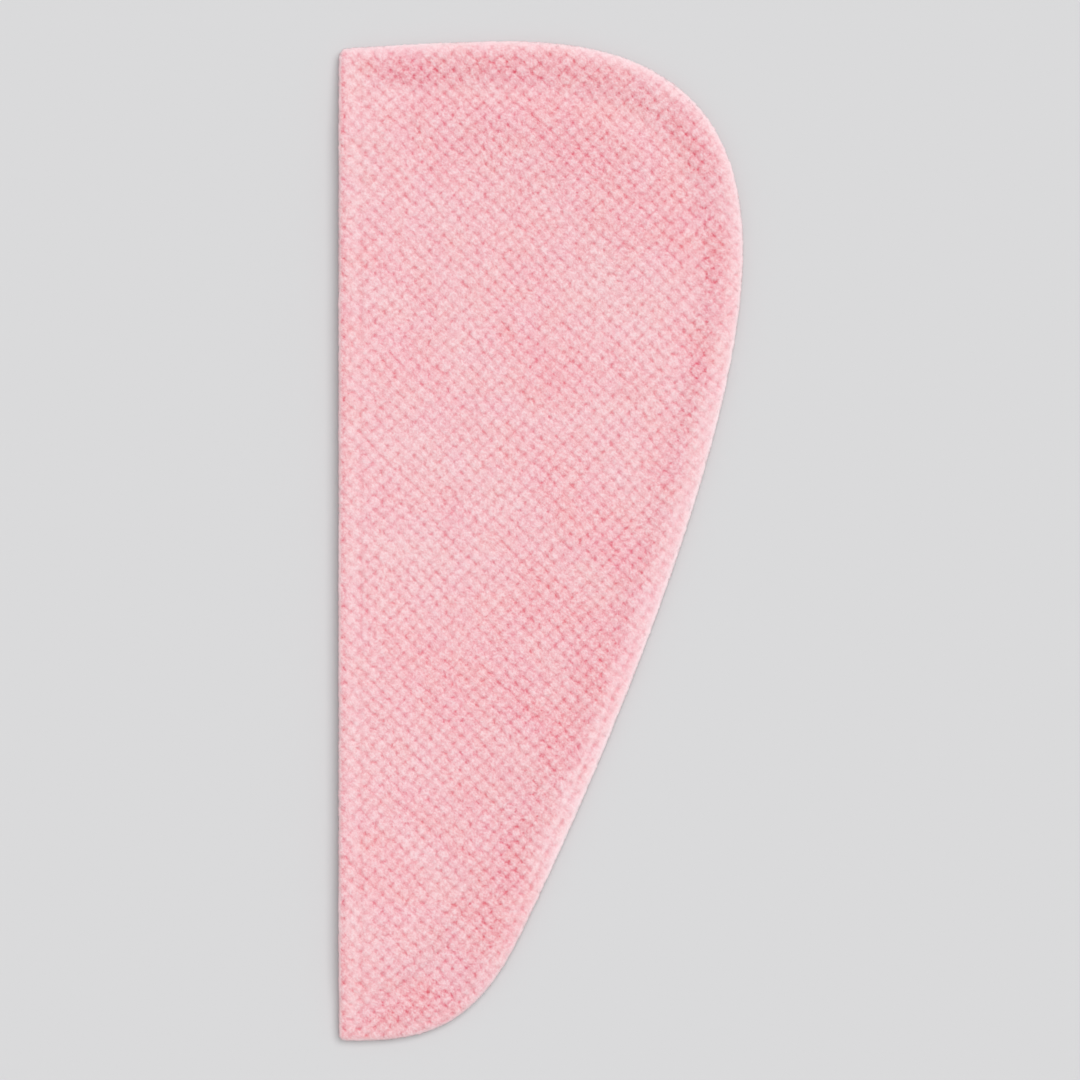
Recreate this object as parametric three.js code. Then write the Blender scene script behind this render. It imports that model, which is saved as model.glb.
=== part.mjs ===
// Hair turban towel, lying flat. Two panels of waffle fleece are sewn together round the curved edge and
// turned right side out, so that the seam allowances lie inside. The straight edge is left open for the
// head, and each panel has a turned hem along it.
// Millimetres, +Z up. X runs from the open hem to the curved edge and Y from the narrow toe to the crown.
// The origin is on the surface that the towel lies on, under the middle of its outline.

import * as THREE from "three";

// Overall size of the flat towel
const towelLength = 620;
const towelWidth = 250;
const crownCornerRadius = 5;
const toeCornerRadius = 3.5;

// Cloth, and how it lies where it is turned in
const clothThickness = 2;
const panelClearance = 0.3; // between the two panels where the seam holds them together
const seamAllowance = 10;
const seamTurnThickness = 1.6; // the allowance is flattened by the seam
const seamTurnGap = 0.5; // between the allowance and the cloth over it
const hemWidth = 14;
const hemTurnGap = 0.3;
const hemTurnThickness = seamTurnThickness + seamTurnGap - hemTurnGap; // hem and seam stack up alike

// Hollow for the head and the hair
const mouthHeight = 4.6; // clear height between the two hems
const mouthCloseLength = 60; // length over which the hems come together at each end
const roomHeight = 6.7; // clear height between the panels in the middle
const domeInset = 50; // where the upper panel levels out, measured in from the edge
const valleyInset = 30; // the upper panel sags here, between the seam and the middle
const valleyDrop = 1.2;

// The seam plane is where the two panels meet, and heights in a section are counted outwards from it.
const edgeBottom = panelClearance / 2;
const edgeCrest = edgeBottom + seamTurnThickness + seamTurnGap + clothThickness;
const roomTop = clothThickness + roomHeight + clothThickness;

// A section through a turned edge. Widths are measured in from the outline.
// roundWidth is the rounded outside, coreWidth the fold's solid core, underWidth the rounding under the tip,
// tipShare the height of the tip as a share of the stack, and levelWidth the stretch held up by the turned cloth.
const seamSection = {
  turnWidth: seamAllowance,
  turnThickness: seamTurnThickness,
  turnGap: seamTurnGap,
  roundWidth: seamAllowance * 1.1,
  coreWidth: seamAllowance * 0.55,
  underWidth: seamAllowance * 0.12,
  tipShare: 0.3,
  levelWidth: seamAllowance * 1.3,
  valleyWidth: valleyInset,
  valleyDrop,
};
const hemSection = {
  turnWidth: hemWidth,
  turnThickness: hemTurnThickness,
  turnGap: hemTurnGap,
  roundWidth: hemWidth * 0.25,
  coreWidth: hemWidth * 0.13,
  underWidth: hemWidth * 0.13,
  tipShare: 0.5,
  levelWidth: hemWidth * 1.07,
  valleyWidth: hemWidth * 1.8,
  valleyDrop: valleyDrop / 2,
};

// Knots of the curved edge from the toe to the crown, as shares of the width and the length.
// in and out are the handles before and after a knot, and steps is how finely the stretch after it is cut.
const curveKnots = [
  { x: 0.058, y: 0, inX: 0, inY: 0, outX: 0.214, outY: 0, steps: 8 },
  { x: 0.447, y: 0.106, inX: -0.084, inY: -0.069, outX: 0.158, outY: 0.13, steps: 15 },
  { x: 1, y: 0.791, inX: 0, inY: -0.196, outX: 0, outY: 0.161, steps: 16 },
  { x: 0.422, y: 1, inX: 0.324, inY: 0, outX: -0.152, outY: 0, steps: 5 },
  { x: 0, y: 0.993, inX: 0.12, inY: 0.002, outX: 0, outY: 0, steps: 0 },
];
const hemSteps = 14;
const cornerSteps = 3;

// The spine is a line down the middle of the towel that every section points at.
const spineToe = new THREE.Vector2(0.27 * towelWidth, 0.21 * towelLength);
const spineCrown = new THREE.Vector2(0.47 * towelWidth, 0.8 * towelLength);

const clamp = THREE.MathUtils.clamp;
const lerp = THREE.MathUtils.lerp;
const smooth = (t) => THREE.MathUtils.smoothstep(t, 0, 1);

// Samples round the outline, counterclockwise from the foot of the hem. hem is 1 on the hem and 0 on the seam.
function outlineSamples() {
  const samples = [];
  const knot = (k) => new THREE.Vector2(k.x * towelWidth, k.y * towelLength);
  const handle = (k, side) =>
    new THREE.Vector2((k.x + k[side + "X"]) * towelWidth, (k.y + k[side + "Y"]) * towelLength);

  // Toe corner: a quarter circle from the hem to the bottom edge
  for (let i = 0; i <= cornerSteps; i++) {
    const angle = Math.PI + (i / cornerSteps) * (Math.PI / 2);
    samples.push({
      x: toeCornerRadius * (1 + Math.cos(angle)),
      y: toeCornerRadius * (1 + Math.sin(angle)),
      hem: 1 - i / cornerSteps,
    });
  }

  // Curved edge, which ends where the crown corner starts
  for (let k = 0; k + 1 < curveKnots.length; k++) {
    const from = curveKnots[k];
    const to = curveKnots[k + 1];
    const stretch = new THREE.CubicBezierCurve(knot(from), handle(from, "out"), handle(to, "in"), knot(to));
    for (let i = 0; i < from.steps; i++) {
      const point = stretch.getPoint(i / from.steps);
      samples.push({ x: point.x, y: point.y, hem: 0 });
    }
  }

  // Crown corner, and then down the hem
  const crownTop = curveKnots.at(-1).y * towelLength;
  for (let i = 0; i <= cornerSteps; i++) {
    const angle = Math.PI / 2 + (i / cornerSteps) * (Math.PI / 2);
    samples.push({
      x: crownCornerRadius * (1 + Math.cos(angle)),
      y: crownTop - crownCornerRadius * (1 - Math.sin(angle)),
      hem: i / cornerSteps,
    });
  }
  const hemTop = crownTop - crownCornerRadius;
  for (let i = 1; i < hemSteps; i++) {
    samples.push({ x: 0, y: lerp(hemTop, toeCornerRadius, i / hemSteps), hem: 1 });
  }
  return samples;
}

const samples = outlineSamples();

function distanceToOutline(x, y) {
  let nearest = Infinity;
  for (let i = 0; i < samples.length; i++) {
    const a = samples[i];
    const b = samples[(i + 1) % samples.length];
    const dx = b.x - a.x;
    const dy = b.y - a.y;
    const share = clamp(((x - a.x) * dx + (y - a.y) * dy) / (dx * dx + dy * dy), 0, 1);
    nearest = Math.min(nearest, Math.hypot(x - a.x - share * dx, y - a.y - share * dy));
  }
  return nearest;
}

// The spot on the way from a sample to the spine that lies a given distance inside the outline
function insetSpot(sample, inset) {
  if (inset <= 0) return [sample.x, sample.y];
  const along = clamp((sample.y - spineToe.y) / (spineCrown.y - spineToe.y), 0, 1);
  const target = spineToe.clone().lerp(spineCrown, along);
  let near = 0;
  let far = 1;
  for (let i = 0; i < 30; i++) {
    const share = (near + far) / 2;
    const deep = distanceToOutline(lerp(sample.x, target.x, share), lerp(sample.y, target.y, share)) > inset;
    if (deep) far = share;
    else near = share;
  }
  return [lerp(sample.x, target.x, near), lerp(sample.y, target.y, near)];
}

// How far the upper hem is lifted off its closed place, from nothing at the ends to the full mouth
function mouthLift(sample) {
  const fromEnd = Math.min(sample.y, curveKnots.at(-1).y * towelLength - sample.y);
  return sample.hem * (mouthHeight - panelClearance) * smooth(fromEnd / mouthCloseLength);
}

// The closed section of a turned edge at one sample, as insets and heights: in along the outside,
// round the tip, out along the turned cloth, back to the fold and in along the inside.
function sectionAt(sample, { fieldSteps, fieldHeight, sag, lifts }) {
  const size = {};
  for (const name in seamSection) size[name] = lerp(seamSection[name], hemSection[name], sample.hem);
  const lift = lifts ? mouthLift(sample) : 0;
  const bottom = edgeBottom + lift;
  const crest = edgeCrest + lift;
  const tip = lerp(bottom, crest, size.tipShare);
  const turnTop = bottom + size.turnThickness;
  const valley = crest - sag * size.valleyDrop;

  // Outside of the field, from the middle out to the rounded edge
  const field = [];
  for (let i = 0; i < fieldSteps; i++) {
    const t = i / fieldSteps;
    field.push({ inset: lerp(domeInset, size.valleyWidth, t), height: lerp(fieldHeight, valley, smooth(t)) });
  }
  for (let i = 0; i < fieldSteps; i++) {
    const t = i / fieldSteps;
    field.push({ inset: lerp(size.valleyWidth, size.levelWidth, t), height: lerp(valley, crest, smooth(t)) });
  }
  field.push({ inset: size.levelWidth, height: crest }, { inset: size.roundWidth, height: crest });

  const edge = [];
  const tipSteps = 5;
  for (let i = 1; i <= tipSteps; i++) {
    const angle = (i / tipSteps) * (Math.PI / 2);
    edge.push({
      inset: size.roundWidth * (1 - Math.sin(angle)),
      height: lerp(tip, crest, Math.cos(angle)),
    });
  }
  const underSteps = 2;
  for (let i = 1; i <= underSteps; i++) {
    const angle = (i / underSteps) * (Math.PI / 2);
    edge.push({
      inset: size.underWidth * (1 - Math.cos(angle)),
      height: lerp(tip, bottom, Math.sin(angle)),
    });
  }

  const turned = [
    { inset: size.turnWidth, height: bottom },
    { inset: size.turnWidth, height: turnTop },
    { inset: size.coreWidth, height: turnTop },
    { inset: size.coreWidth, height: turnTop + size.turnGap / 2 },
  ];
  const inside = field.map(({ inset, height }) => ({ inset, height: height - clothThickness })).reverse();
  return [...field, ...edge, ...turned, ...inside];
}

// One panel as a solid: rings of section points round the outline, closed by a flat cap on each face.
function panelGeometry(shape) {
  const sections = samples.map((sample) => sectionAt(sample, shape));
  const ringCount = sections[0].length;
  const positions = [];
  for (let ring = 0; ring < ringCount; ring++) {
    samples.forEach((sample, i) => {
      const { inset, height } = sections[i][ring];
      const [x, y] = insetSpot(sample, inset);
      positions.push(x - towelWidth / 2, y - towelLength / 2, edgeCrest + shape.side * height);
    });
  }

  const count = samples.length;
  const triangles = [];
  const addFace = (a, b, c) => triangles.push(...(shape.side > 0 ? [a, b, c] : [a, c, b]));
  for (let ring = 0; ring + 1 < ringCount; ring++) {
    for (let i = 0; i < count; i++) {
      const a = ring * count + i;
      const b = ring * count + ((i + 1) % count);
      addFace(a, a + count, b);
      addFace(b, a + count, b + count);
    }
  }
  const rim = (ring) =>
    samples.map((_, i) => {
      const at = 3 * (ring * count + i);
      return new THREE.Vector2(positions[at], positions[at + 1]);
    });
  for (const [a, b, c] of THREE.ShapeUtils.triangulateShape(rim(0), [])) addFace(a, b, c);
  const last = (ringCount - 1) * count;
  for (const [a, b, c] of THREE.ShapeUtils.triangulateShape(rim(ringCount - 1), [])) {
    addFace(last + a, last + c, last + b);
  }

  const geometry = new THREE.BufferGeometry();
  geometry.setAttribute("position", new THREE.Float32BufferAttribute(positions, 3));
  geometry.setIndex(triangles);
  geometry.computeVertexNormals();
  return geometry;
}

const fleece = { color: 0xf4bfc6, roughness: 0.95, metalness: 0 };

const upperPanel = new THREE.Mesh(
  panelGeometry({ side: 1, fieldSteps: 3, fieldHeight: roomTop - edgeCrest, sag: 1, lifts: true }),
  new THREE.MeshStandardMaterial(fleece),
);
upperPanel.name = "upper_panel";

// The lower panel lies flat on the surface, and only its turned edge curls up to the seam.
const lowerPanel = new THREE.Mesh(
  panelGeometry({ side: -1, fieldSteps: 1, fieldHeight: edgeCrest, sag: 0, lifts: false }),
  new THREE.MeshStandardMaterial(fleece),
);
lowerPanel.name = "lower_panel";

const towel = new THREE.Group();
towel.add(upperPanel, lowerPanel);

export default towel;
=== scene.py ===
# Hair turban towel lying flat on a pale floor: two panels of waffle fleece sewn round the curved edge and
# open along the straight hem. Lengths are in millimetres until the meshes are made.

import math

import bpy
import numpy as np
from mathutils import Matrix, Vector
from mathutils.geometry import delaunay_2d_cdt


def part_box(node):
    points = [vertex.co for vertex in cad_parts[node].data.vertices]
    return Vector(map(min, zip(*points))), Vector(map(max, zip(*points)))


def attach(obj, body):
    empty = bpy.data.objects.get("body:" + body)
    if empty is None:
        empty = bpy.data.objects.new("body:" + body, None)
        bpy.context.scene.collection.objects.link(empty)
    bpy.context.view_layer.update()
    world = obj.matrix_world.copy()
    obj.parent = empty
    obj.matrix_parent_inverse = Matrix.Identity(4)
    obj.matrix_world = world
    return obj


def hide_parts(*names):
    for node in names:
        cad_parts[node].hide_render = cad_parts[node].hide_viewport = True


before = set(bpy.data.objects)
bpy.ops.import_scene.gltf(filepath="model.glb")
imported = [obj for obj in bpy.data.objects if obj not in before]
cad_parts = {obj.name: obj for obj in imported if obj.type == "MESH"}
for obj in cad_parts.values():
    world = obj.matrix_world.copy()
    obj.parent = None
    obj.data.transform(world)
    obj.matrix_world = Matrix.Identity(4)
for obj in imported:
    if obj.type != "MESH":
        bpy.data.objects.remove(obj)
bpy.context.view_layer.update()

# Camera, straight above the towel
cameraSetup = {
    "seenMm": 673.0,  # side of the square that the picture takes in
    "lensMm": 100.0,
    "sensorMm": 36.0,
    "offsetMm": (-0.8, 0.6),  # the towel lies a little right of and below the middle of the picture
}


def makeCamera(setup):
    data = bpy.data.cameras.new("overheadCamera")
    data.lens = setup["lensMm"]
    data.sensor_width = setup["sensorMm"]
    camera = bpy.data.objects.new("overheadCamera", data)
    height = setup["seenMm"] * setup["lensMm"] / setup["sensorMm"]
    camera.location = (setup["offsetMm"][0] / 1000, setup["offsetMm"][1] / 1000, height / 1000)
    bpy.context.collection.objects.link(camera)
    bpy.context.scene.camera = camera


makeCamera(cameraSetup)
print("camera made")

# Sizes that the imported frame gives
upperLow, upperHigh = (np.array(corner) * 1000 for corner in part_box("upper_panel"))
lowerLow, lowerHigh = (np.array(corner) * 1000 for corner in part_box("lower_panel"))
towelLow, towelHigh = lowerLow, np.maximum(lowerHigh, upperHigh)
towelWidth, towelLength = (towelHigh - towelLow)[:2]
seamPlane = (lowerHigh[2] + upperLow[2]) / 2
edgeBottom = (upperLow[2] - lowerHigh[2]) / 2
edgeCrest = seamPlane - lowerLow[2]
mouthLift = upperHigh[2] - seamPlane - edgeCrest

towelShape = {
    "crownCornerMm": 5.0,
    "toeCornerMm": 3.5,
    "cornerBlendMm": 5.0,  # the hem turns into the seam over about this length
    "edgeStepMm": 3.0,  # spacing of points round the edge
    "underSteps": 24,  # steps in a section from its underside to its tip
    "clothMm": 2.0,
    "domeTopMm": 10.7,  # the middle of the upper panel, above the floor
    "domeInsetMm": 50.0,
    "mouthCloseMm": 60.0,  # the hems come together over this length at each end
    # Curved edge from the toe to the crown, as shares of width and length: knot, handle before, handle after
    "knots": [
        ((0.058, 0), (0, 0), (0.214, 0)),
        ((0.447, 0.106), (-0.084, -0.069), (0.158, 0.13)),
        ((1, 0.791), (0, -0.196), (0, 0.161)),
        ((0.422, 1), (0.324, 0), (-0.152, 0)),
        ((0, 0.993), (0.12, 0.002), (0, 0)),
    ],
    # The middle line that every section points at
    "spine": ((0.27, 0.21), (0.47, 0.8)),
}

# Sections through the two kinds of edge, in mm in from the outline
foldSections = {
    "seam": {
        "round": 11.0,
        "under": 1.2,
        "tipShare": 0.3,
        "level": 13.0,
        "valley": 30.0,
        "valleyDrop": 1.2,
        "turn": 10.0,
        "turnThick": 1.6,
        "core": 5.5,
        "gap": 0.5,
    },
    "hem": {
        "round": 3.5,
        "under": 1.8,
        "tipShare": 0.5,
        "level": 15.0,
        "valley": 25.2,
        "valleyDrop": 0.6,
        "turn": 14.0,
        "turnThick": 1.8,
        "core": 1.8,
        "gap": 0.3,
    },
}


def smooth(t):
    t = np.clip(t, 0, 1)
    return t * t * (3 - 2 * t)


def lerp(a, b, t):
    return a + (b - a) * t


# Outline as evenly spaced points, counterclockwise from the foot of the hem, with hem 1 on the hem and 0 on
# the seam
def outlineOf(shape):
    size = np.array([towelWidth, towelLength])
    knots = [[np.array(part) * size for part in knot] for knot in shape["knots"]]
    points, hem = [], []
    toe, crown = shape["toeCornerMm"], shape["crownCornerMm"]
    crownTop = knots[-1][0][1]
    for angle in np.linspace(0, math.pi / 2, 8):
        points.append((toe * (1 - math.cos(angle)), toe * (1 - math.sin(angle))))
        hem.append(1 - angle / (math.pi / 2))
    for (start, _, leaving), (end, arriving, _) in zip(knots, knots[1:]):
        for t in np.linspace(0, 1, 80, endpoint=False):
            a, b, c, d = start, start + leaving, end + arriving, end
            points.append((1 - t) ** 3 * a + 3 * t * (1 - t) ** 2 * b + 3 * t * t * (1 - t) * c + t**3 * d)
            hem.append(0)
    while points[-1][0] < crown + 1:  # the crown corner takes the curve's place here
        points.pop()
        hem.pop()
    for angle in np.linspace(0, math.pi / 2, 8):
        points.append((crown * (1 - math.sin(angle)), crownTop - crown * (1 - math.cos(angle))))
        hem.append(angle / (math.pi / 2))
    points = np.array(points) - size / 2
    points[:, 0] = np.maximum(points[:, 0], -size[0] / 2)
    closed = np.vstack([points, points[:1]])
    hem = np.array(hem + hem[:1])
    along = np.concatenate([[0], np.cumsum(np.linalg.norm(np.diff(closed, axis=0), axis=1))])
    count = round(along[-1] / shape["edgeStepMm"])
    even = np.arange(count) * along[-1] / count
    spots = np.stack([np.interp(even, along, closed[:, 0]), np.interp(even, along, closed[:, 1])], axis=1)
    return spots, np.interp(even, along, hem)


edgeSpots, edgeHem = outlineOf(towelShape)
edgeNext, edgeBefore = np.roll(edgeSpots, -1, axis=0), np.roll(edgeSpots, 1, axis=0)
edgeRuns = edgeNext - edgeSpots
edgeOnHem = (edgeHem + np.roll(edgeHem, -1)) / 2 > 0.5
tangents = edgeNext - edgeBefore
tangents /= np.linalg.norm(tangents, axis=1, keepdims=True)
edgeInward = np.stack([-tangents[:, 1], tangents[:, 0]], axis=1)


# How far inside the outline each point lies, the way in from the edge, and how much of the hem it feels
def fromEdge(points):
    inset, inward, hem = np.empty(len(points)), np.empty((len(points), 2)), np.empty(len(points))
    runX, runY = edgeRuns.T
    runSquare = runX**2 + runY**2
    batch = 800  # points at a time, to spare memory
    for first in range(0, len(points), batch):
        part = points[first : first + batch]
        awayX = part[:, :1] - edgeSpots[:, 0]
        awayY = part[:, 1:] - edgeSpots[:, 1]
        share = np.clip((awayX * runX + awayY * runY) / runSquare, 0, 1)
        awayX -= share * runX
        awayY -= share * runY
        square = awayX**2 + awayY**2
        nearest = square.argmin(axis=1)
        row = np.arange(len(part))
        close = np.sqrt(square[row, nearest])
        away = np.column_stack([awayX[row, nearest], awayY[row, nearest]])
        ahead = (nearest + 1) % len(edgeSpots)
        normal = lerp(edgeInward[nearest], edgeInward[ahead], share[row, nearest][:, None])
        side = np.where((away * normal).sum(axis=1) < 0, -1, 1)
        straight = away * side[:, None] / np.maximum(close, 1e-9)[:, None]
        way = np.where(close[:, None] > 0.5, straight, normal)  # on the edge itself, its own normal
        last = first + len(part)
        inset[first:last] = close * side
        inward[first:last] = way / np.linalg.norm(way, axis=1, keepdims=True)
        toHem = np.sqrt(square[:, edgeOnHem].min(axis=1))
        toSeam = np.sqrt(square[:, ~edgeOnHem].min(axis=1))
        blend = towelShape["cornerBlendMm"] + np.minimum(toHem, toSeam)
        hem[first:last] = smooth(0.5 + (toSeam - toHem) / blend)
    return inset, inward, hem


# Section of the outside of a turned edge, from under the edge to the level middle
def outsideSection(section, fieldHeight, sag):
    tip = lerp(edgeBottom, edgeCrest, section["tipShare"])
    turn = np.linspace(math.pi / 2, 0, towelShape["underSteps"])
    inset = [section["under"] * (1 - np.cos(turn)), section["round"] * (1 - np.sin(turn[1:]))]
    height = [lerp(tip, edgeBottom, np.sin(turn)), lerp(tip, edgeCrest, np.cos(turn[1:]))]
    valley = edgeCrest - sag * section["valleyDrop"]
    share = np.linspace(0, 1, 30)[1:]
    inset += [lerp(section["level"], section["valley"], share)]
    height += [lerp(edgeCrest, valley, smooth(share))]
    inset += [lerp(section["valley"], towelShape["domeInsetMm"], share), [200.0]]
    height += [lerp(valley, fieldHeight, smooth(share)), [fieldHeight]]  # level from the dome on
    inset, height = np.concatenate(inset), np.concatenate(height)
    steps = np.hypot(np.diff(inset), np.diff(height))
    along = np.concatenate([[0], np.cumsum(steps)])
    extra = along[-1] - inset[-1]  # the flat pattern reaches this far past the outline
    return {"along": along, "inset": inset, "height": height, "extra": extra}


def panelSections(panel):
    return {kind: outsideSection(section, panel["fieldHeight"], panel["sag"])
            for kind, section in foldSections.items()}


# How far the flat pattern reaches past the outline, where it feels so much of the hem
def patternExtra(sections, hem):
    return lerp(sections["seam"]["extra"], sections["hem"]["extra"], hem)


# How far the hems are lifted apart, for the head to go in
def mouthOpening(y, inset, hem):
    fromEnd = np.minimum(y + towelLength / 2, towelLength / 2 - y)
    valley = foldSections["hem"]["valley"]
    fade = 1 - smooth((inset - valley) / (towelShape["domeInsetMm"] - valley))
    return hem * mouthLift * smooth(fromEnd / towelShape["mouthCloseMm"]) * fade


# Folds the flat pattern: where each of its points comes to lie, and the way out of the cloth there
def foldOutside(points, panel):
    inset, inward, hem = fromEdge(points)
    halfStep = 0.05  # the slope is taken across this far each way
    parts = {}
    for kind, section in panelSections(panel).items():
        along = inset + section["extra"]
        parts[kind] = [np.interp(along + step, section["along"], section[key])
                       for key in ("inset", "height") for step in (-halfStep, halfStep)] + [along]
    i0, i1, h0, h1, along = (lerp(a, b, hem) for a, b in zip(parts["seam"], parts["hem"]))
    newInset, height = (i0 + i1) / 2, (h0 + h1) / 2
    slope = np.stack([i1 - i0, h1 - h0], axis=1)
    slope /= np.maximum(np.linalg.norm(slope, axis=1, keepdims=True), 1e-9)
    flat = points + inward * (newInset - inset)[:, None]
    if panel["lifts"]:
        height = height + mouthOpening(flat[:, 1], newInset, hem)
    spots = np.column_stack([flat, seamPlane + panel["side"] * height])
    normals = np.column_stack([-slope[:, 1:] * inward, panel["side"] * slope[:, 0]])
    return spots, normals, {"inset": newInset, "hem": hem, "along": along}


# Waffle of the fleece: tufts on a square lattice that is turned 45 degrees to the hem
waffle = {
    "cellMm": 6.9,
    "hemTuftMm": 6.9,  # the first column of tufts lies this far in from the hem
    "reliefMm": 1.3,
    "proudMm": 0.35,  # the pile stands over the pressed cloth
    "standShare": 0.45,  # share of the relief that stands over the cloth too
    "grooveDeep": 0.74,  # depths are shares of the relief, and widths shares of a cell
    "grooveWide": 0.16,
    "grooveRun": 0.4,  # a groove runs this far out of a pit before it fades
    "grooveMiddle": 0.3,  # depth midway between pits, against its depth at one
    "grooveEnd": 1.1,
    "grooveMix": 1.5,  # higher makes more of the grooves faint
    "grooveRight": 0.3,  # depth at the right side of a tuft, against its left side
    "leftGrooves": 0.55,  # depth of the grooves that run down to the left, against the others
    "pitDeep": 0.64,
    "pitWide": 0.2,
    "faintestPit": 0.15,  # as a share of the deepest
    "domeDrop": 0.24,  # how far a tuft falls off towards its sides
    "lowestTuft": 0.88,
    "plainRelief": 0.6,  # where the cloth is turned in
    "innerReliefMm": 0.5,
    "fuzzMm": 0.2,
    "bendMm": 1.6,  # the lattice wanders this far
    "tuftShift": 0.155,  # how far a tuft sits off its place, as a share of a cell
    "hemGrooveMm": 13.7,  # the hem stitching pulls a groove this far in
    "hemGrooveDeepMm": 0.3,
    "hemGrooveWideMm": 1.2,
    "seamGrooveMm": 6.6,  # the seam rolls up on to the face along the slanting side and the toe
    "seamGrooveDeepMm": 0.55,
    "seamGrooveWideMm": 1.1,
    "rimRelief": 0.45,  # share of the relief that is left at the very edge
    "rimHeight": 0.85,  # and what the rest of it evens out to
    "seed": 11,
}
chance = np.random.default_rng(waffle["seed"]).random((8, 256, 256))
bends = np.random.default_rng(waffle["seed"] + 1).random((10, 4))


# A fixed random share for each place of the lattice
def pick(layer, i, j):
    return chance[layer][i % 256, j % 256]


def bell(distance, width):
    return np.exp(-((distance / width) ** 2))


# Where the lattice point u, v lies on the flat pattern, with the slow wander of real cloth: calm beside the
# hem, in waves 55 to 160 mm long elsewhere
def latticeSpots(u, v):
    cell = waffle["cellMm"]
    half = math.sqrt(0.5)
    x = waffle["hemTuftMm"] - towelWidth / 2 + cell * half * (u + v)
    y = cell * half * (u - v)
    calm = 0.2 + 0.8 * smooth((x + towelWidth / 2 - 8) / 40)
    dx, dy = np.zeros_like(x), np.zeros_like(y)
    for a, b, c, d in bends:
        wave = 2 * math.pi / lerp(55, 160, a)
        turn = 2 * math.pi * b
        phase = wave * (x * math.cos(turn) + y * math.sin(turn)) + 2 * math.pi * c
        dx += np.sin(phase) * math.cos(2 * math.pi * d)
        dy += np.sin(phase) * math.sin(2 * math.pi * d)
    bend = waffle["bendMm"] / 3 * calm
    return np.stack([x + dx * bend, y + dy * bend], axis=-1)


# Height of the waffle, from 0 in a pit to 1 on a tuft. Tufts sit at whole numbers of u and v. A pit opens
# where three or four of them meet, and grooves run out of it between each two. Grooves are deepest at the
# left corner of the tuft on their right, and those that run down to the right are the deeper ones. This
# one-sidedness follows the shadows that light from the upper right casts, and the colour, which follows this
# height, paints those shadows on.
def waffleRelief(u, v):
    i, j = np.round(u).astype(int), np.round(v).astype(int)
    around = np.array([(i + di, j + dj) for di in (-1, 0, 1) for dj in (-1, 0, 1)])
    shift = 2 * waffle["tuftShift"]
    tuftU = around[:, 0] + (pick(0, around[:, 0], around[:, 1]) - 0.5) * shift
    tuftV = around[:, 1] + (pick(1, around[:, 0], around[:, 1]) - 0.5) * shift
    distance = np.hypot(u - tuftU, v - tuftV)
    order = np.argsort(distance, axis=0)
    first, second, third = np.take_along_axis(distance, order[:3], axis=0)
    row = np.arange(len(u))
    near, beside, behind = (around[order[k], :, row] for k in range(3))
    pair, corner = near + beside, near + beside + behind
    middle = sum(tuftU[order[k], row] + tuftV[order[k], row] for k in (0, 1)) / 2
    fromLeft = smooth(0.5 + u + v - middle)
    lean = np.where(near[:, 1] == beside[:, 1], 1.0, waffle["leftGrooves"])
    nearPit = bell(third - first, waffle["grooveRun"])
    deep = waffle["grooveDeep"] * pick(2, pair[:, 0], pair[:, 1]) ** waffle["grooveMix"]
    deep = deep * lean * lerp(1, waffle["grooveRight"], fromLeft)
    deep = deep * lerp(waffle["grooveMiddle"], waffle["grooveEnd"], nearPit)
    groove = bell(second - first, waffle["grooveWide"]) * deep
    pitDeep = waffle["pitDeep"] * lerp(waffle["faintestPit"], 1, pick(3, corner[:, 0], corner[:, 1]))
    pit = bell(third - first, waffle["pitWide"]) * pitDeep
    dome = np.clip((second - first) / 0.9, 0, 1)
    tuft = lerp(waffle["lowestTuft"], 1.0, pick(4, near[:, 0], near[:, 1]))
    return np.clip(tuft * (1 - waffle["domeDrop"] * (1 - dome) ** 2) - groove - pit, 0, 1)


# Points of the lattice that lie inside the outline, several to each cell
def latticeInside(stops, margin):
    reach = math.ceil((towelWidth + towelLength) / waffle["cellMm"] / math.sqrt(2)) + 2
    cells = np.arange(-reach, reach)
    i, j = (grid.ravel() for grid in np.meshgrid(cells, cells, indexing="ij"))
    u, v = ((start[:, None] + stops[:, axis]).ravel() for axis, start in enumerate((i, j)))
    rough = latticeSpots(u, v)
    keep = (np.abs(rough[:, 0]) < towelWidth / 2 + 6) & (np.abs(rough[:, 1]) < towelLength / 2 + 6)
    u, v, rough = u[keep], v[keep], rough[keep]
    inset, _, hem = fromEdge(rough)
    keep = inset > margin(hem)
    return u[keep], v[keep], rough[keep]


# Where the mesh has points within each cell of the lattice
def evenStops(count):
    return np.array([(a / count, b / count) for a in range(count) for b in range(count)])


# Spots that lie a given distance inside the outline, on the way to the middle line
def insetRing(inset):
    size = np.array([towelWidth, towelLength])
    toe, crown = (np.array(spot) * size - size / 2 for spot in towelShape["spine"])
    along = np.clip((edgeSpots[:, 1] - toe[1]) / (crown[1] - toe[1]), 0, 1)[:, None]
    target = lerp(toe, crown, along)
    near, far = np.zeros(len(edgeSpots)), np.ones(len(edgeSpots))
    for _ in range(18):  # halves the range each time
        share = (near + far) / 2
        deep = fromEdge(lerp(edgeSpots, target, share[:, None]))[0] > inset
        far = np.where(deep, share, far)
        near = np.where(deep, near, share)
    return lerp(edgeSpots, target, near[:, None])


# A ring whose inset changes along the edge
def unevenRing(insets):
    steps = np.linspace(insets.min(), insets.max(), 5)
    rings = np.stack([insetRing(step) for step in steps])
    at = (insets - steps[0]) / (steps[-1] - steps[0]) * 4
    low = np.minimum(at.astype(int), 3)
    row = np.arange(len(insets))
    return lerp(rings[low, row], rings[low + 1, row], (at - low)[:, None])


# Triangles between points on the flat, inside the ring that the first points make
def fillRing(points, ringCount):
    ring = [(k, (k + 1) % ringCount) for k in range(ringCount)]
    found = delaunay_2d_cdt([Vector(p) for p in points.tolist()], ring, [], 1, 1e-7)
    first = np.array([source[0] for source in found[3]])
    return first[np.array(found[2])]


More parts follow.
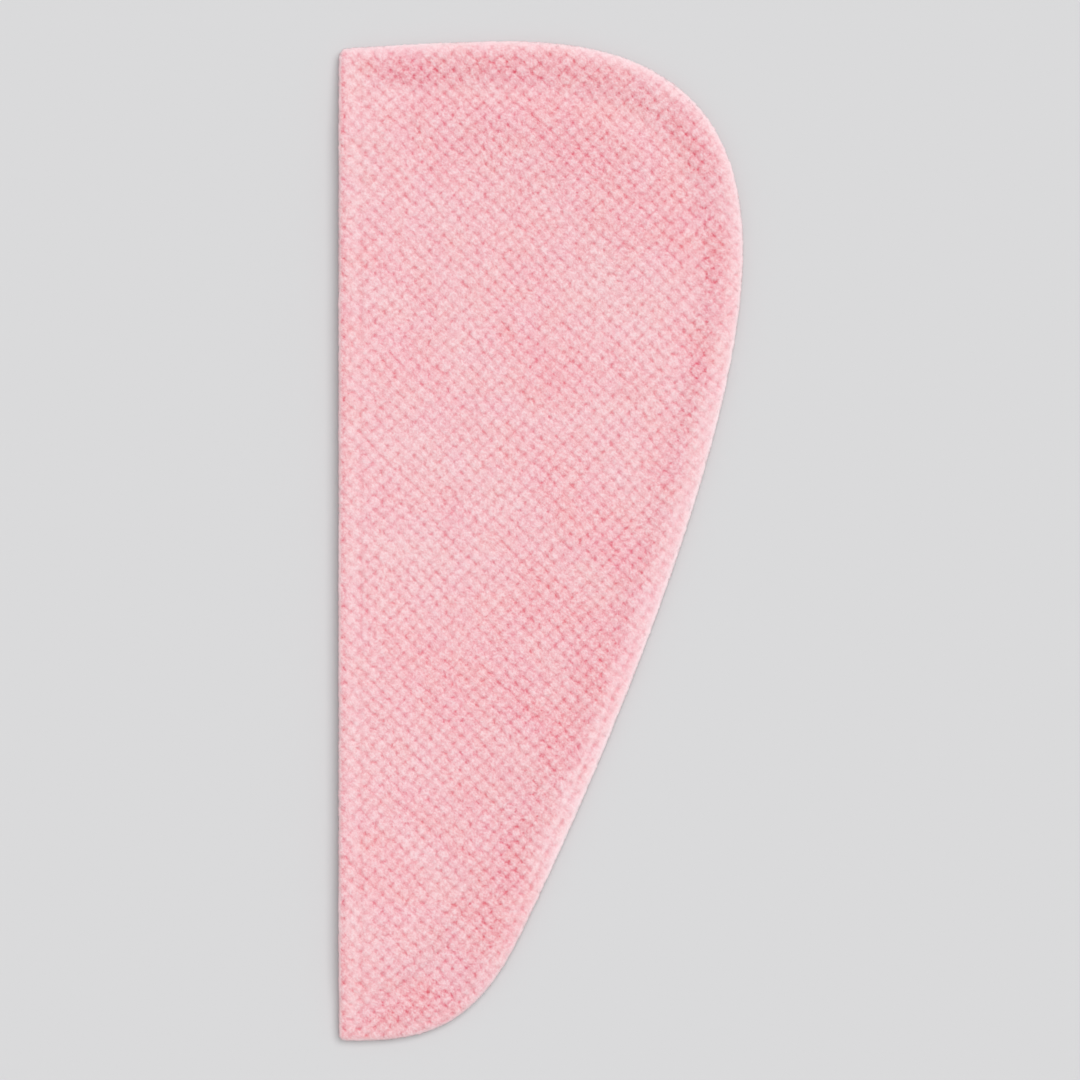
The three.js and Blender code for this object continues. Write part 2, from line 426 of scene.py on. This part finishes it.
# Triangles between two rings of the same count
def ringStrips(first, second, count):
    here = np.arange(count)
    ahead = (here + 1) % count
    return np.concatenate([
        np.stack([first + ahead, first + here, second + here], axis=1),
        np.stack([first + ahead, second + here, second + ahead], axis=1),
    ])


def makePiece(name, points, faces, attributes=None):
    mesh = bpy.data.meshes.new(name)
    mesh.from_pydata((points / 1000).tolist(), [], faces.tolist())
    mesh.polygons.foreach_set("use_smooth", np.ones(len(mesh.polygons), dtype=bool))
    for key, values in (attributes or {}).items():
        layer = mesh.attributes.new(key, "FLOAT", "POINT")
        layer.data.foreach_set("value", values.astype(np.float32))
    mesh.update()
    piece = bpy.data.objects.new(name, mesh)
    bpy.context.collection.objects.link(piece)
    return piece


# Painted light and shade, in steps in from the edge: a painted highlight, most at the rim and less on the
# ridge, and, below zero, painted shade where the surface turns away from the light. Each side of the towel
# has its own row, as the light falls on it
paintedLightShade = {
    "insetMm": (0, 1.5, 3, 4.5, 6.5, 8.5, 11, 14, 18, 23, 30, 40),
    "toe": (0.9, 0.1, -0.1, 0, 0, -0.1, -0.25, -0.28, -0.25, -0.25, -0.1, -0.1),
    "slant": (1.4, 0.75, 0.48, 0.32, 0.12, 0.45, 0.16, 0, -0.08, -0.15, -0.22, -0.08),
    "right": (1.35, 0.65, 0.33, 0.26, 0.33, 0.22, 0.02, -0.04, -0.2, -0.12, 0, 0),
    "crown": (1.05, 0.55, 0.36, 0.22, 0, -0.14, -0.13, -0.22, -0.22, -0.18, 0, -0.12),
    "hem": (0.9, -0.1, -0.14, 0.06, 0.12, 0.16, 0.12, 0.1, 0.03, 0, 0, 0),
}
# Where along the length each row holds, as a share from the toe up
paintedLightShadeReach = {"toe": 0.03, "slant": 0.2, "right": 0.72, "crown": 0.93}


def paintedLightShadeAt(points, inset, hem, level):
    up = points[:, 1] / towelLength + 0.5
    facing = smooth((level - 0.05) / 0.6)  # the painted light lies on faces that look up, not on the sides
    tables = {key: np.interp(inset, paintedLightShade["insetMm"], paintedLightShade[key])
              for key in (*paintedLightShadeReach, "hem")}
    places = list(paintedLightShadeReach.values())
    onSeam = np.zeros(len(inset))
    for k, key in enumerate(paintedLightShadeReach):
        onSeam += np.interp(up, places, np.eye(len(places))[k]) * tables[key]
    return lerp(onSeam, tables["hem"], hem) * facing


# One panel as a closed sheet: waffled outside, turned edge and plainer inside
def makePanel(name, panel):
    ringCount = len(edgeSpots)
    sections = panelSections(panel)
    ring = edgeSpots - edgeInward * patternExtra(sections, fromEdge(edgeSpots)[2])[:, None]
    clearMm = 0.45  # between the ring and the first points inside it
    u, v, flat = latticeInside(panel["stops"], lambda hem: clearMm - patternExtra(sections, hem))
    flat = np.vstack([ring, flat])
    faces = [fillRing(flat, ringCount)]
    spots, normals, place = foldOutside(flat, panel)
    plain = np.full(ringCount, waffle["plainRelief"])
    relief = np.concatenate([plain, waffleRelief(u, v)])
    flattened = (1 - waffle["rimRelief"]) * (1 - smooth((place["inset"] - 0.5) / 3.5))
    relief = lerp(relief, waffle["rimHeight"], flattened)
    fuzz = np.random.default_rng(waffle["seed"] + 2).normal(0, 1, len(relief)) * waffle["fuzzMm"]
    rolled = panel["seamRoll"](flat)
    hemGroove = bell(place["inset"] - waffle["hemGrooveMm"], waffle["hemGrooveWideMm"]) * place["hem"]
    seamGroove = bell(place["inset"] - waffle["seamGrooveMm"], waffle["seamGrooveWideMm"]) * rolled
    grooves = waffle["hemGrooveDeepMm"] * hemGroove + waffle["seamGrooveDeepMm"] * seamGroove
    fade = smooth(place["along"] / 3)  # nothing stands proud where the cloth turns under
    squashed = 0 if panel["side"] > 0 else np.abs(normals[:, 2])  # the floor presses the pile flat
    top = lerp(waffle["proudMm"] + waffle["standShare"] * waffle["reliefMm"], 0, squashed)
    push = top + fuzz - waffle["reliefMm"] * (1 - relief) - grooves
    spots = spots + normals * (push * fade)[:, None]
    if panel["side"] < 0:
        spots[:, 2] = np.maximum(spots[:, 2], 0)
    points = [spots]
    reliefs = [relief - 0.2 * hemGroove - 0.15 * seamGroove]  # painted shade: the grooves are deeper pink in colour too
    # Painted light and shade along the edges, carried as a mark on the points
    paintedLightParts = [paintedLightShadeAt(flat, place["inset"], place["hem"], normals[:, 2])]

    # Turned cloth under the edge, then the inside face
    hem = fromEdge(edgeSpots)[2]
    seamSection, hemSection = foldSections["seam"], foldSections["hem"]
    size = {key: lerp(seamSection[key], hemSection[key], hem) for key in seamSection}
    lift = mouthOpening(edgeSpots[:, 1], 0, hem) * panel["lifts"]
    bottom = edgeBottom + lift
    turnTop = bottom + size["turnThick"]
    turnSpots = unevenRing(size["turn"])
    coreSpots = unevenRing(size["core"])
    start = len(spots)
    before = 0
    for spotsAt, height in (
        (turnSpots, bottom),
        (turnSpots, turnTop),
        (coreSpots, turnTop),
        (coreSpots, turnTop + size["gap"] / 2),
    ):
        points.append(np.column_stack([spotsAt, seamPlane + panel["side"] * height]))
        reliefs.append(plain)
        paintedLightParts.append(np.zeros(ringCount))
        faces.append(ringStrips(before, start, ringCount))
        before = start
        start += ringCount

    tuftsAndPits = np.array([(0, 0), (0.5, 0.5)])
    clearMm = 1.2
    u, v, inside = latticeInside(
        tuftsAndPits, lambda hem: lerp(seamSection["core"], hemSection["core"], hem) + clearMm)
    inner = fillRing(np.vstack([coreSpots, inside]), ringCount)[:, ::-1]
    faces.append(np.where(inner < ringCount, inner + before, inner - ringCount + start))
    inset, _, hem = fromEdge(inside)
    heights = {}
    for kind, section in foldSections.items():
        outside = sections[kind]
        overInset, overHeight = (outside[key][towelShape["underSteps"] :] for key in ("inset", "height"))
        level = np.interp(inset, overInset, overHeight) - towelShape["clothMm"]
        rise = smooth((inset - section["core"]) / (section["round"] - section["core"]))
        edge = edgeBottom + section["turnThick"] + section["gap"] / 2
        risen = lerp(edge, edgeCrest - towelShape["clothMm"], rise)
        heights[kind] = np.where(inset < section["level"], risen, level)
    height = lerp(heights["seam"], heights["hem"], hem)
    if panel["lifts"]:
        height = height + mouthOpening(inside[:, 1], inset, hem)
    relief = waffleRelief(u, v)
    height = height + waffle["innerReliefMm"] * (1 - relief) * smooth((inset - 4) / 8)
    points.append(np.column_stack([inside, seamPlane + panel["side"] * height]))
    reliefs.append(relief)
    paintedLightParts.append(np.zeros(len(relief)))

    faces = np.concatenate(faces)
    if panel["side"] < 0:
        faces = faces[:, ::-1]
    marks = {"relief": np.concatenate(reliefs), "paintedLightShade": np.concatenate(paintedLightParts)}
    piece = makePiece(name, np.vstack(points), faces, marks)
    print(name, "made with", len(faces), "triangles")
    return piece


# How much the seam rolls up on to the face: all along the slanting side and the toe, not at the crown
def slantShare(points):
    up = points[:, 1] / towelLength + 0.5
    return smooth((points[:, 0] / towelWidth + 0.42) / 0.15) * smooth((0.78 - up) / 0.25)


upperFold = {
    "side": 1,
    "fieldHeight": towelShape["domeTopMm"] - seamPlane,
    "sag": 1,
    "lifts": True,
    "seamRoll": slantShare,
    "stops": evenStops(6),
}
lowerFold = {
    "side": -1,
    "fieldHeight": edgeCrest,
    "sag": 0,
    "lifts": False,
    "seamRoll": lambda points: 0,
    "stops": evenStops(5),
}
upperPanel = makePanel("upper_fleece", upperFold)
lowerPanel = makePanel("lower_fleece", lowerFold)

# Pile that stands off the turned edges, as short closed spikes. Real fibres are finer, and these are as
# coarse as they need to be to show.
edgePile = {
    "upperReachMm": 5.5,
    "lowerReachMm": 3.5,
    "perSquareMm": 2.4,
    "lengthMm": (0.4, 1.2),
    "thickMm": 0.18,
    "tipPaintedHighlight": 0.9,
    "standMm": 0.6,  # how far the pile's roots stand over the pressed cloth
    "sinkMm": 0.3,
    "lean": 0.45,  # how far the spikes lean each way
    "droop": 0.15,
    "seed": 23,
}


def makePile(name):
    random = np.random.default_rng(edgePile["seed"])
    edgeMm = np.linalg.norm(edgeRuns, axis=1).sum()
    points, relief, paintedLight = [], [], []
    for panel, reach in ((upperFold, edgePile["upperReachMm"]), (lowerFold, edgePile["lowerReachMm"])):
        count = int(edgeMm * reach * edgePile["perSquareMm"])
        at, share = random.integers(0, len(edgeSpots), count), random.random((count, 1))
        start = edgeSpots[at] + edgeRuns[at] * share
        extra = patternExtra(panelSections(panel), fromEdge(start)[2])
        flat = start + edgeInward[at] * (random.random(count) * reach - extra)[:, None]
        spots, normals, place = foldOutside(flat, panel)
        stand = edgePile["standMm"] * smooth(place["along"] / 3)
        if panel["side"] < 0:
            stand *= 1 - np.abs(normals[:, 2])
        root = spots + normals * (stand - edgePile["sinkMm"])[:, None]
        way = normals + random.normal(0, edgePile["lean"], (count, 3)) - (0, 0, edgePile["droop"])
        way /= np.linalg.norm(way, axis=1, keepdims=True)
        side = np.cross(way, random.normal(0, 1, (count, 3)))
        side /= np.linalg.norm(side, axis=1, keepdims=True)
        across = np.cross(way, side)
        long = edgePile["sinkMm"] + random.uniform(*edgePile["lengthMm"], count)
        foot = [root + edgePile["thickMm"] / 2 * (math.cos(turn) * side + math.sin(turn) * across)
                for turn in (0, 2 * math.pi / 3, 4 * math.pi / 3)]
        spikes = np.stack([*foot, root + way * long[:, None]], axis=1)
        spikes[:, :, 2] = np.maximum(spikes[:, :, 2], (0.02, 0.02, 0.02, 0.1))  # none goes under the floor
        # Painted light on the spikes: the edge's painted light and shade, a little more where a spike looks
        # up, and a painted highlight towards the tip
        facing = smooth((normals[:, 2] + 0.2) / 0.6)
        rim = paintedLightShadeAt(flat, place["inset"], place["hem"], normals[:, 2]) + 0.2 * facing
        tip = rim + edgePile["tipPaintedHighlight"] * (1 - 0.7 * place["hem"]) * facing
        points.append(spikes.reshape(-1, 3))
        paintedLight.append(np.column_stack([rim, rim, rim, tip]).ravel())
        relief.append(np.tile([0.7, 0.7, 0.7, 1.0], count))  # painted shade at the foot and a painted highlight at the tip
    points = np.vstack(points)
    first = np.arange(0, len(points), 4)[:, None, None]
    faces = (first + np.array([(0, 1, 3), (1, 2, 3), (2, 0, 3), (0, 2, 1)])).reshape(-1, 3)
    print(name, "made with", len(faces), "triangles")
    marks = {"relief": np.concatenate(relief), "paintedLightShade": np.concatenate(paintedLight)}
    return makePiece(name, points, faces, marks)


pile = makePile("edge_pile")


# Stitching: short runs of thread that sink into the pile
stitching = {
    "threadMm": 0.5,
    "stitchMm": 2.6,
    "pitchMm": 3.4,
    "sides": 6,
    "hemMm": 13.7,
    "toeGapMm": 6.0,  # the hem's row stops this far from each end
    "crownGapMm": 10.0,
    "upperSinkMm": 0.45,
    "lowerSinkMm": 0.75,
    "seamInsetMm": 0.6,
}


# A row of stitches along a path, each a closed run of thread that rises by lift in its middle
def stitchRow(path, lift):
    along = np.concatenate([[0], np.cumsum(np.linalg.norm(np.diff(path, axis=0), axis=1))])
    count = int(along[-1] / stitching["pitchMm"])
    sides = stitching["sides"]
    points, faces = [], []
    for k in range(count):
        middle = (k + 0.5) * along[-1] / count
        shares = np.linspace(-0.5, 0.5, 5)
        at = middle + shares * stitching["stitchMm"]
        line = np.column_stack([np.interp(at, along, path[:, axis]) for axis in range(3)])
        line += lift * (np.cos(shares * math.pi)[:, None] - 0.5)
        ahead = line[-1] - line[0]
        ahead /= np.linalg.norm(ahead)
        across = np.cross(ahead, lift / np.linalg.norm(lift))
        across /= np.linalg.norm(across)
        up = np.cross(across, ahead)
        first = len(points)
        for spot, share in zip(line, shares):
            radius = stitching["threadMm"] / 2 * math.sqrt(max(1 - (2 * share) ** 4, 0.12))
            for s in range(sides):
                angle = 2 * math.pi * s / sides
                points.append(spot + radius * (math.cos(angle) * across + math.sin(angle) * up))
        for ring in range(4):
            for s in range(sides):
                a, b = first + ring * sides + s, first + ring * sides + (s + 1) % sides
                faces += [(a, b, b + sides), (a, b + sides, a + sides)]
        last = first + 4 * sides
        for s in range(1, sides - 1):
            faces += [(first, first + s + 1, first + s), (last, last + s, last + s + 1)]
    return np.array(points), np.array(faces)


def hemRow(panel):
    y = np.linspace(stitching["toeGapMm"] - towelLength / 2, towelLength / 2 - stitching["crownGapMm"], 220)
    flat = np.column_stack([np.full_like(y, -towelWidth / 2 + stitching["hemMm"]), y])
    spots = foldOutside(flat, panel)[0]
    outward = np.array([0, 0, panel["side"]])
    sink = stitching["upperSinkMm"] if panel["side"] > 0 else stitching["lowerSinkMm"]
    return spots - outward * sink, outward * stitching["threadMm"] / 2


def seamRow():
    keep = np.where(edgeHem < 0.5)[0]
    flat = edgeSpots[keep] + edgeInward[keep] * stitching["seamInsetMm"]
    return np.column_stack([flat, np.full(len(flat), seamPlane)]), np.array([0, 0, 0.1])


stitches = []
for name, (path, lift) in {
    "upper_hem_stitching": hemRow(upperFold),
    "lower_hem_stitching": hemRow(lowerFold),
    "seam_stitching": seamRow(),
}.items():
    points, faces = stitchRow(path, lift)
    stitches.append(makePiece(name, points, faces))
print("stitching made")


def linear(hexColour):
    channels = [int(hexColour[k : k + 2], 16) / 255 for k in (0, 2, 4)]
    return tuple(c / 12.92 if c <= 0.04045 else ((c + 0.055) / 1.055) ** 2.4 for c in channels) + (1.0,)


# Adds a node with its settings, and gives its inputs a value or a link
def addNode(tree, kind, settings, inputs):
    node = tree.nodes.new(kind)
    for key, value in settings.items():
        setattr(node, key, value)
    for key, value in inputs.items():
        if isinstance(value, bpy.types.NodeSocket):
            tree.links.new(value, node.inputs[key])
        else:
            node.inputs[key].default_value = value
    return node


def newMaterial(name):
    material = bpy.data.materials.new(name)
    material.use_nodes = True
    material.node_tree.nodes.clear()
    return material, material.node_tree


# Waffle coral fleece, which is knitted polyester with a brushed pile: matt, with a colour that follows the
# waffle's height, paler on the tufts and deeper pink in the grooves and pits, which is painted shade
fleeceLook = {
    "paintedPitShadeHex": "D88790",
    "sideHex": "E0A4AB",
    "tuftHex": "E7BABF",
    "tipHex": "EBCCD0",
    "paintedHighlightHex": "F3DCDF",
    "sheenHex": "FFF1F3",
    # Size in mm, stretch along the fibres, detail, roughness and how far it swings
    "fuzz": (1.4, 1.4, 2.0, 0.9, 0.41),
    "clumps": (2.4, 1.0, 1.0, 0.5, 0.13),
    "streaks": (30.0, 2.5, 3.0, 0.5, 0.095),
    "patches": (16.0, 1.0, 3.0, 0.5, 0.005),
}


def fleeceMaterial(look):
    material, tree = newMaterial("brushedWaffleFleece")
    place = addNode(tree, "ShaderNodeTexCoord", {}, {}).outputs["Object"]
    relief = addNode(tree, "ShaderNodeAttribute", {"attribute_name": "relief"}, {}).outputs["Fac"]
    paintedLight = addNode(tree, "ShaderNodeAttribute", {"attribute_name": "paintedLightShade"}, {}).outputs["Fac"]
    noise, swing = {}, {}
    for key, middle in (("fuzz", 0.0), ("clumps", 0.0), ("streaks", 1.0), ("patches", 0.5)):
        sizeMm, stretch, detail, roughness, reach = look[key]
        lean = addNode(tree, "ShaderNodeMapping", {"vector_type": "TEXTURE"}, {
            "Vector": place, "Rotation": (0, 0, math.radians(-45)), "Scale": (stretch, 1, 1)})
        pattern = addNode(tree, "ShaderNodeTexNoise", {}, {
            "Vector": lean.outputs[0], "Scale": 1000 / sizeMm, "Detail": detail, "Roughness": roughness})
        noise[key] = pattern.outputs["Fac"]
        swing[key] = addNode(tree, "ShaderNodeMapRange", {}, {
            "Value": noise[key], "From Min": 0.3, "From Max": 0.7,
            "To Min": middle - reach, "To Max": middle + reach}).outputs[0]
    uneven = addNode(tree, "ShaderNodeMath", {"operation": "ADD"}, {0: swing["fuzz"], 1: swing["clumps"]})
    height = addNode(tree, "ShaderNodeMath", {"operation": "ADD"}, {0: relief, 1: uneven.outputs[0]})
    shown = addNode(tree, "ShaderNodeMath", {"operation": "MULTIPLY"}, {0: height.outputs[0], 1: 0.8})
    ramp = addNode(tree, "ShaderNodeValToRGB", {}, {0: shown.outputs[0]})
    stops = ramp.color_ramp.elements
    stops[0].position, stops[0].color = 0.1, linear(look["paintedPitShadeHex"])
    stops[1].position, stops[1].color = 1.0, linear(look["tipHex"])
    for position, key in ((0.42, "sideHex"), (0.72, "tuftHex")):
        stops.new(position).color = linear(look[key])
    # Painted light and shade: towards the highlight colour where the mark is above 0, darker and deeper pink
    # below it
    lightPainted = addNode(tree, "ShaderNodeMix", {"data_type": "RGBA", "clamp_factor": False}, {
        "Factor": paintedLight, 6: ramp.outputs[0], 7: linear(look["paintedHighlightHex"])})
    tinted = addNode(tree, "ShaderNodeHueSaturation", {}, {
        "Hue": swing["patches"], "Saturation": swing["streaks"], "Color": lightPainted.outputs[2]})
    grain = addNode(tree, "ShaderNodeMath", {"operation": "MULTIPLY_ADD"}, {
        0: noise["clumps"], 1: 0.6, 2: noise["fuzz"]})
    bump = addNode(tree, "ShaderNodeBump", {}, {
        "Height": grain.outputs[0], "Strength": 0.5, "Distance": 0.0004})
    shader = addNode(tree, "ShaderNodeBsdfPrincipled", {}, {
        "Base Color": tinted.outputs[0],
        "Roughness": 0.95,
        "IOR": 1.5,
        "Specular IOR Level": 0.1,
        "Sheen Weight": 0.25,
        "Sheen Roughness": 0.5,
        "Sheen Tint": linear(look["sheenHex"]),
        "Normal": bump.outputs[0],
    })
    addNode(tree, "ShaderNodeOutputMaterial", {}, {"Surface": shader.outputs[0]})
    return material


# Spun polyester thread, dyed to match: a little shinier than the pile, and its twist shows as fine slanting
# bands
threadLook = {"lowHex": "DE8794", "highHex": "EBA3AE", "twistMm": 0.9}


def threadMaterial(look):
    material, tree = newMaterial("spunPolyesterThread")
    place = addNode(tree, "ShaderNodeTexCoord", {}, {}).outputs["Object"]
    twist = addNode(tree, "ShaderNodeTexWave", {"wave_type": "BANDS", "bands_direction": "DIAGONAL"}, {
        "Vector": place, "Scale": 100 * 2 * math.pi / look["twistMm"], "Distortion": 1.0})
    ramp = addNode(tree, "ShaderNodeValToRGB", {}, {0: twist.outputs["Fac"]})
    ramp.color_ramp.elements[0].color = linear(look["lowHex"])
    ramp.color_ramp.elements[1].color = linear(look["highHex"])
    bump = addNode(tree, "ShaderNodeBump", {}, {
        "Height": twist.outputs["Fac"], "Strength": 0.4, "Distance": 0.0001})
    shader = addNode(tree, "ShaderNodeBsdfPrincipled", {}, {
        "Base Color": ramp.outputs[0], "Roughness": 0.6, "IOR": 1.5, "Normal": bump.outputs[0]})
    addNode(tree, "ShaderNodeOutputMaterial", {}, {"Surface": shader.outputs[0]})
    return material


# Uncoated background paper, matt, so that the floor stays pale and even
paperLook = {"paperHex": "CBCBCC", "toothMm": 1.1}


def paperMaterial(look):
    material, tree = newMaterial("mattPaper")
    place = addNode(tree, "ShaderNodeTexCoord", {}, {}).outputs["Object"]
    tooth = addNode(tree, "ShaderNodeTexNoise", {}, {
        "Vector": place, "Scale": 1000 / look["toothMm"], "Detail": 2.0})
    bump = addNode(tree, "ShaderNodeBump", {}, {
        "Height": tooth.outputs["Fac"], "Strength": 0.05, "Distance": 0.0001})
    shader = addNode(tree, "ShaderNodeBsdfPrincipled", {}, {
        "Base Color": linear(look["paperHex"]),
        "Roughness": 0.9,
        "Specular IOR Level": 0.2,
        "Normal": bump.outputs[0],
    })
    addNode(tree, "ShaderNodeOutputMaterial", {}, {"Surface": shader.outputs[0]})
    return material


fleece = fleeceMaterial(fleeceLook)
thread = threadMaterial(threadLook)
for piece in (upperPanel, lowerPanel, pile):
    piece.data.materials.append(fleece)
for piece in stitches:
    piece.data.materials.append(thread)
print("materials made")

floorMesh = bpy.data.meshes.new("floor")
farM, underM = 12, -0.0001  # wide enough for low views, and just under the towel
corners = [(x * farM, y * farM, underM) for x, y in ((-1, -1), (1, -1), (1, 1), (-1, 1))]
floorMesh.from_pydata(corners, [], [(0, 1, 2, 3)])
floor = bpy.data.objects.new("floor", floorMesh)
bpy.context.collection.objects.link(floor)
floor.data.materials.append(paperMaterial(paperLook))

# Soft key light from the upper right, a weaker one low on the left, and an even fill
lightSetup = {
    "softKey": {"strength": 2.56, "softnessDeg": 50.0, "azimuthDeg": 47.0, "elevationDeg": 69.0},
    "softSide": {"strength": 0.32, "softnessDeg": 80.0, "azimuthDeg": 205.0, "elevationDeg": 35.0},
    "fillStrength": 0.35,
}


def makeLights(setup):
    for name in ("softKey", "softSide"):
        light = setup[name]
        data = bpy.data.lights.new(name, "SUN")
        data.energy = light["strength"]
        data.angle = math.radians(light["softnessDeg"])
        lamp = bpy.data.objects.new(name, data)
        azimuth, elevation = math.radians(light["azimuthDeg"]), math.radians(light["elevationDeg"])
        level = math.cos(elevation)
        towards = Vector((math.cos(azimuth) * level, math.sin(azimuth) * level, math.sin(elevation)))
        lamp.rotation_mode = "QUATERNION"
        lamp.rotation_quaternion = towards.to_track_quat("Z", "Y")
        bpy.context.collection.objects.link(lamp)
    world = bpy.data.worlds.new("studio")
    world.use_nodes = True
    back = world.node_tree.nodes["Background"]
    back.inputs["Color"].default_value = (1, 1, 1, 1)
    back.inputs["Strength"].default_value = setup["fillStrength"]
    bpy.context.scene.world = world


makeLights(lightSetup)
bpy.context.scene.view_settings.view_transform = "Standard"
print("lights made")

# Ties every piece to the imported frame
for piece in (upperPanel, lowerPanel, pile, *stitches):
    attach(piece, "root")
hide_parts("upper_panel")
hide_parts("lower_panel")
